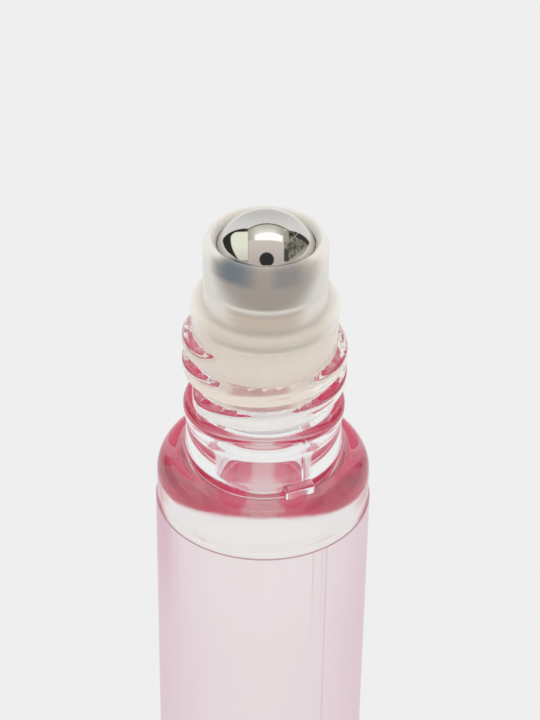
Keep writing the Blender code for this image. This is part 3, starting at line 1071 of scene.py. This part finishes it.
def add_floor(scene, shades):
    """Pale floor that keeps the object's shadow and runs into the background."""
    mesh = bpy.data.meshes.new("floor")
    square = ((-1, -1), (1, -1), (1, 1), (-1, 1))
    corners = [(x * FLOOR_REACH, y * FLOOR_REACH, -FLOOR_DROP) for x, y in square]
    mesh.from_pydata(corners, [], [(0, 1, 2, 3)])
    floor = bpy.data.objects.new("floor", mesh)
    scene.collection.objects.link(floor)
    graph = new_finish("floor", shades.backdrop)
    matt = graph.node("ShaderNodeBsdfDiffuse", {"Color": shades.backdrop})
    glow = graph.node("ShaderNodeEmission", {"Color": shades.backdrop, "Strength": 1.0})
    mesh.materials.append(graph.close(graph.mix(0.85, matt, glow)))


def oval(across, above, centre, size):
    """Squared distance from an oval's centre, 1 on its edge."""
    return ((across - centre[0]) / size[0]) ** 2.0 + ((above - centre[1]) / size[1]) ** 2.0


def studio_panels(graph):
    """Plain studio panels as a mirror ball shows them: a lamp, side panels, a front panel with its lens."""
    towards = graph.node("ShaderNodeTexCoord").outputs["Generated"]
    parts = []
    for axis in view_axes():
        sockets = {0: towards, 1: tuple(axis)}
        parts.append(graph.number("ShaderNodeVectorMath", sockets, "Value", operation="DOT_PRODUCT"))
    spread = ((parts[2] + 1.0).most(0.0001) * 2.0) ** 0.5
    across, above = parts[0] / spread, parts[1] / spread
    soft = 0.012

    def over(level):
        """1 where the height is above a level, with a soft edge."""
        return (above - level).step(-soft, soft)

    def beyond(place):
        """1 where the side distance is past a place, with a soft edge."""
        return (across - place).step(-soft, soft)

    horizon = 0.678 - (across - 0.03) ** 2.0 * 0.8
    left_end, right_end = -0.322, 0.336
    column = beyond(left_end) * (1.0 - beyond(right_end))
    band = graph.coats(
        (0.98, 0.98, 0.93),
        (above.step(0.5, 0.66), (0.66, 0.66, 0.58)),
        (abs(across).step(0.1, 0.34), (0.5, 0.5, 0.42)),
    )
    sweep = graph.coats(
        (0.84, 0.84, 0.83),
        (above.step(0.6, 0.95), (0.66, 0.66, 0.655)),
        (above.fall(0.3, 0.5) * abs(across).step(0.3, 0.34), (0.46, 0.43, 0.41)),
    )
    lamp = beyond(-0.2) * (1.0 - beyond(0.31)) * (1.0 - over(0.52 - (across - 0.04) ** 2.0 * 0.95))
    panel = graph.blend(above.step(-0.1, 0.35), (0.6, 0.55, 0.5), (0.76, 0.7, 0.66))
    front = column * (1.0 - over(0.37 - across.most(0.0) ** 2.0 * 0.3))
    lens = oval(across, above, (0.017, 0.011), (0.137, 0.137)).fall(0.8, 1.15)

    left = oval(across, above, (-0.39, 0.3), (0.44, 0.295)).fall(0.94, 1.06) * (1.0 - beyond(left_end))
    left = left * (across * 0.666 + above * 0.746 + 0.335).step(-soft, soft)
    edge = (0.4 - above) ** 2.0 * 0.95 - 0.64
    top = 0.535 - (-0.53 - across).most(0.0) ** 2.0 * 6.0
    light = beyond(edge) * (1.0 - beyond(left_end)) * (1.0 - over(top))
    window = graph.blend(above.step(0.0, 0.3), (0.78, 0.78, 0.7), (1.0, 1.02, 0.88))

    right = oval(across, above, (0.4, 0.27), (0.42, 0.29)).fall(0.92, 1.06) * beyond(right_end)
    right = right * (above * 0.741 - across * 0.671 + 0.292).step(-soft, soft)
    spots = {"Vector": towards, "Scale": 9.0, "Detail": 5.0, "Roughness": 0.65}
    blotch = graph.number("ShaderNodeTexNoise", spots)
    nearer = 1.0 - beyond(0.42)
    lines = []
    for slope, shift in ((-2.2, 0.62), (1.1, -0.28)):
        line = abs(above - (across - 0.45) * slope - 0.45 - shift * 0.3).fall(0.006, 0.02)
        lines.append((line * 0.7, (0.5, 0.5, 0.42)))
    dim = graph.coats(
        (0.1, 0.1, 0.08),
        (blotch.step(0.38, 0.66), (0.34, 0.34, 0.26)),
        (over(0.46 - (across - 0.4) ** 2.0), (0.05, 0.05, 0.045)),
        (nearer * over(0.34), (0.42, 0.42, 0.33)),
        (nearer * (1.0 - over(0.2)), (0.08, 0.08, 0.075)),
        *lines,
    )
    rim = abs(above - horizon).fall(0.004, 0.018) * beyond(-0.36) * (1.0 - beyond(0.47))
    return graph.coats(
        sweep,
        (column * (1.0 - over(horizon)), band),
        (lamp * column, (1.35, 1.35, 1.35)),
        (front, panel),
        (lens, (0.04, 0.04, 0.042)),
        (left, (0.036, 0.036, 0.03)),
        (light * left, window),
        (right, dim),
        (rim, (0.22, 0.14, 0.09)),
    )


def add_world(scene, shades):
    """Even white light, the pale background behind the object and studio panels for mirrored rays."""
    world = bpy.data.worlds.new("studio")
    world.use_nodes = True
    world.node_tree.nodes.clear()
    graph = Graph(world.node_tree)
    path = graph.node("ShaderNodeLightPath").outputs
    rays = ("Camera", "Glossy", "Transmission", "Reflection")
    camera, glossy, through, mirrored = [Number(graph, path[f"Is {ray} Ray"]) for ray in rays]
    seen = camera.most(glossy).most(through) * (Number(graph, path["Diffuse Depth"]) < 0.5)
    view = graph.blend(mirrored, shades.backdrop, studio_panels(graph))
    light = graph.node("ShaderNodeBackground", {"Color": WHITE, "Strength": 1.0 + through * 1.1})
    shown = graph.node("ShaderNodeBackground", {"Color": view, "Strength": 1.0})
    graph.node("ShaderNodeOutputWorld", {"Surface": graph.mix(seen, light, shown)})
    scene.world = world


class VIAL_OT_stage(Operator):
    """Make the floor, the light and the camera"""

    bl_idname = "vial.stage"
    bl_label = "Stage"

    def execute(self, context):
        scene = context.scene
        shades = scene.vial.colours
        add_floor(scene, shades)
        add_world(scene, shades)
        add_camera(scene)
        scene.view_settings.view_transform = "Standard"
        for kind in ("max_bounces", "glossy_bounces", "transmission_bounces", "transparent_max_bounces"):
            setattr(scene.cycles, kind, BOUNCES)
        return {"FINISHED"}


# Panel and registration

class VialSettings(PropertyGroup):
    """Everything that the panel shows"""

    glass: PointerProperty(type=VialGlassSizes)
    thread: PointerProperty(type=VialThreadSizes)
    fitment: PointerProperty(type=VialFitmentSizes)
    fill: PointerProperty(type=VialFillSizes)
    film: PointerProperty(type=VialFilmSizes)
    colours: PointerProperty(type=VialColours)


OPERATORS = (VIAL_OT_glass, VIAL_OT_perfume, VIAL_OT_fitment, VIAL_OT_ball, VIAL_OT_film, VIAL_OT_stage)


class VIAL_PT_pieces(Panel):
    """Buttons and sizes of the vial's pieces"""

    bl_idname = "VIAL_PT_pieces"
    bl_label = "Roll-on Vial"
    bl_space_type = "VIEW_3D"
    bl_region_type = "UI"
    bl_category = "Vial"

    def draw(self, context):
        for operator in OPERATORS:
            self.layout.operator(operator.bl_idname)
        settings = context.scene.vial
        for name in ("glass", "thread", "fitment", "fill", "film", "colours"):
            group = getattr(settings, name)
            box = self.layout.box()
            box.label(text=name.capitalize())
            for key in group.__annotations__:
                box.prop(group, key)


SIZES = (VialGlassSizes, VialThreadSizes, VialFitmentSizes, VialFillSizes, VialFilmSizes)
GROUPS = SIZES + (VialColours, VialSettings)


def register():
    for item in GROUPS + OPERATORS + (VIAL_PT_pieces,):
        bpy.utils.register_class(item)
    bpy.types.Scene.vial = PointerProperty(type=VialSettings)


def unregister():
    del bpy.types.Scene.vial
    for item in reversed(GROUPS + OPERATORS + (VIAL_PT_pieces,)):
        bpy.utils.unregister_class(item)


def main():
    """Make every piece."""
    register()
    bpy.ops.vial.glass()
    bpy.ops.vial.perfume()
    bpy.ops.vial.fitment()
    bpy.ops.vial.ball()
    bpy.ops.vial.film()
    bpy.ops.vial.stage()


if __name__ == "__main__":
    main()
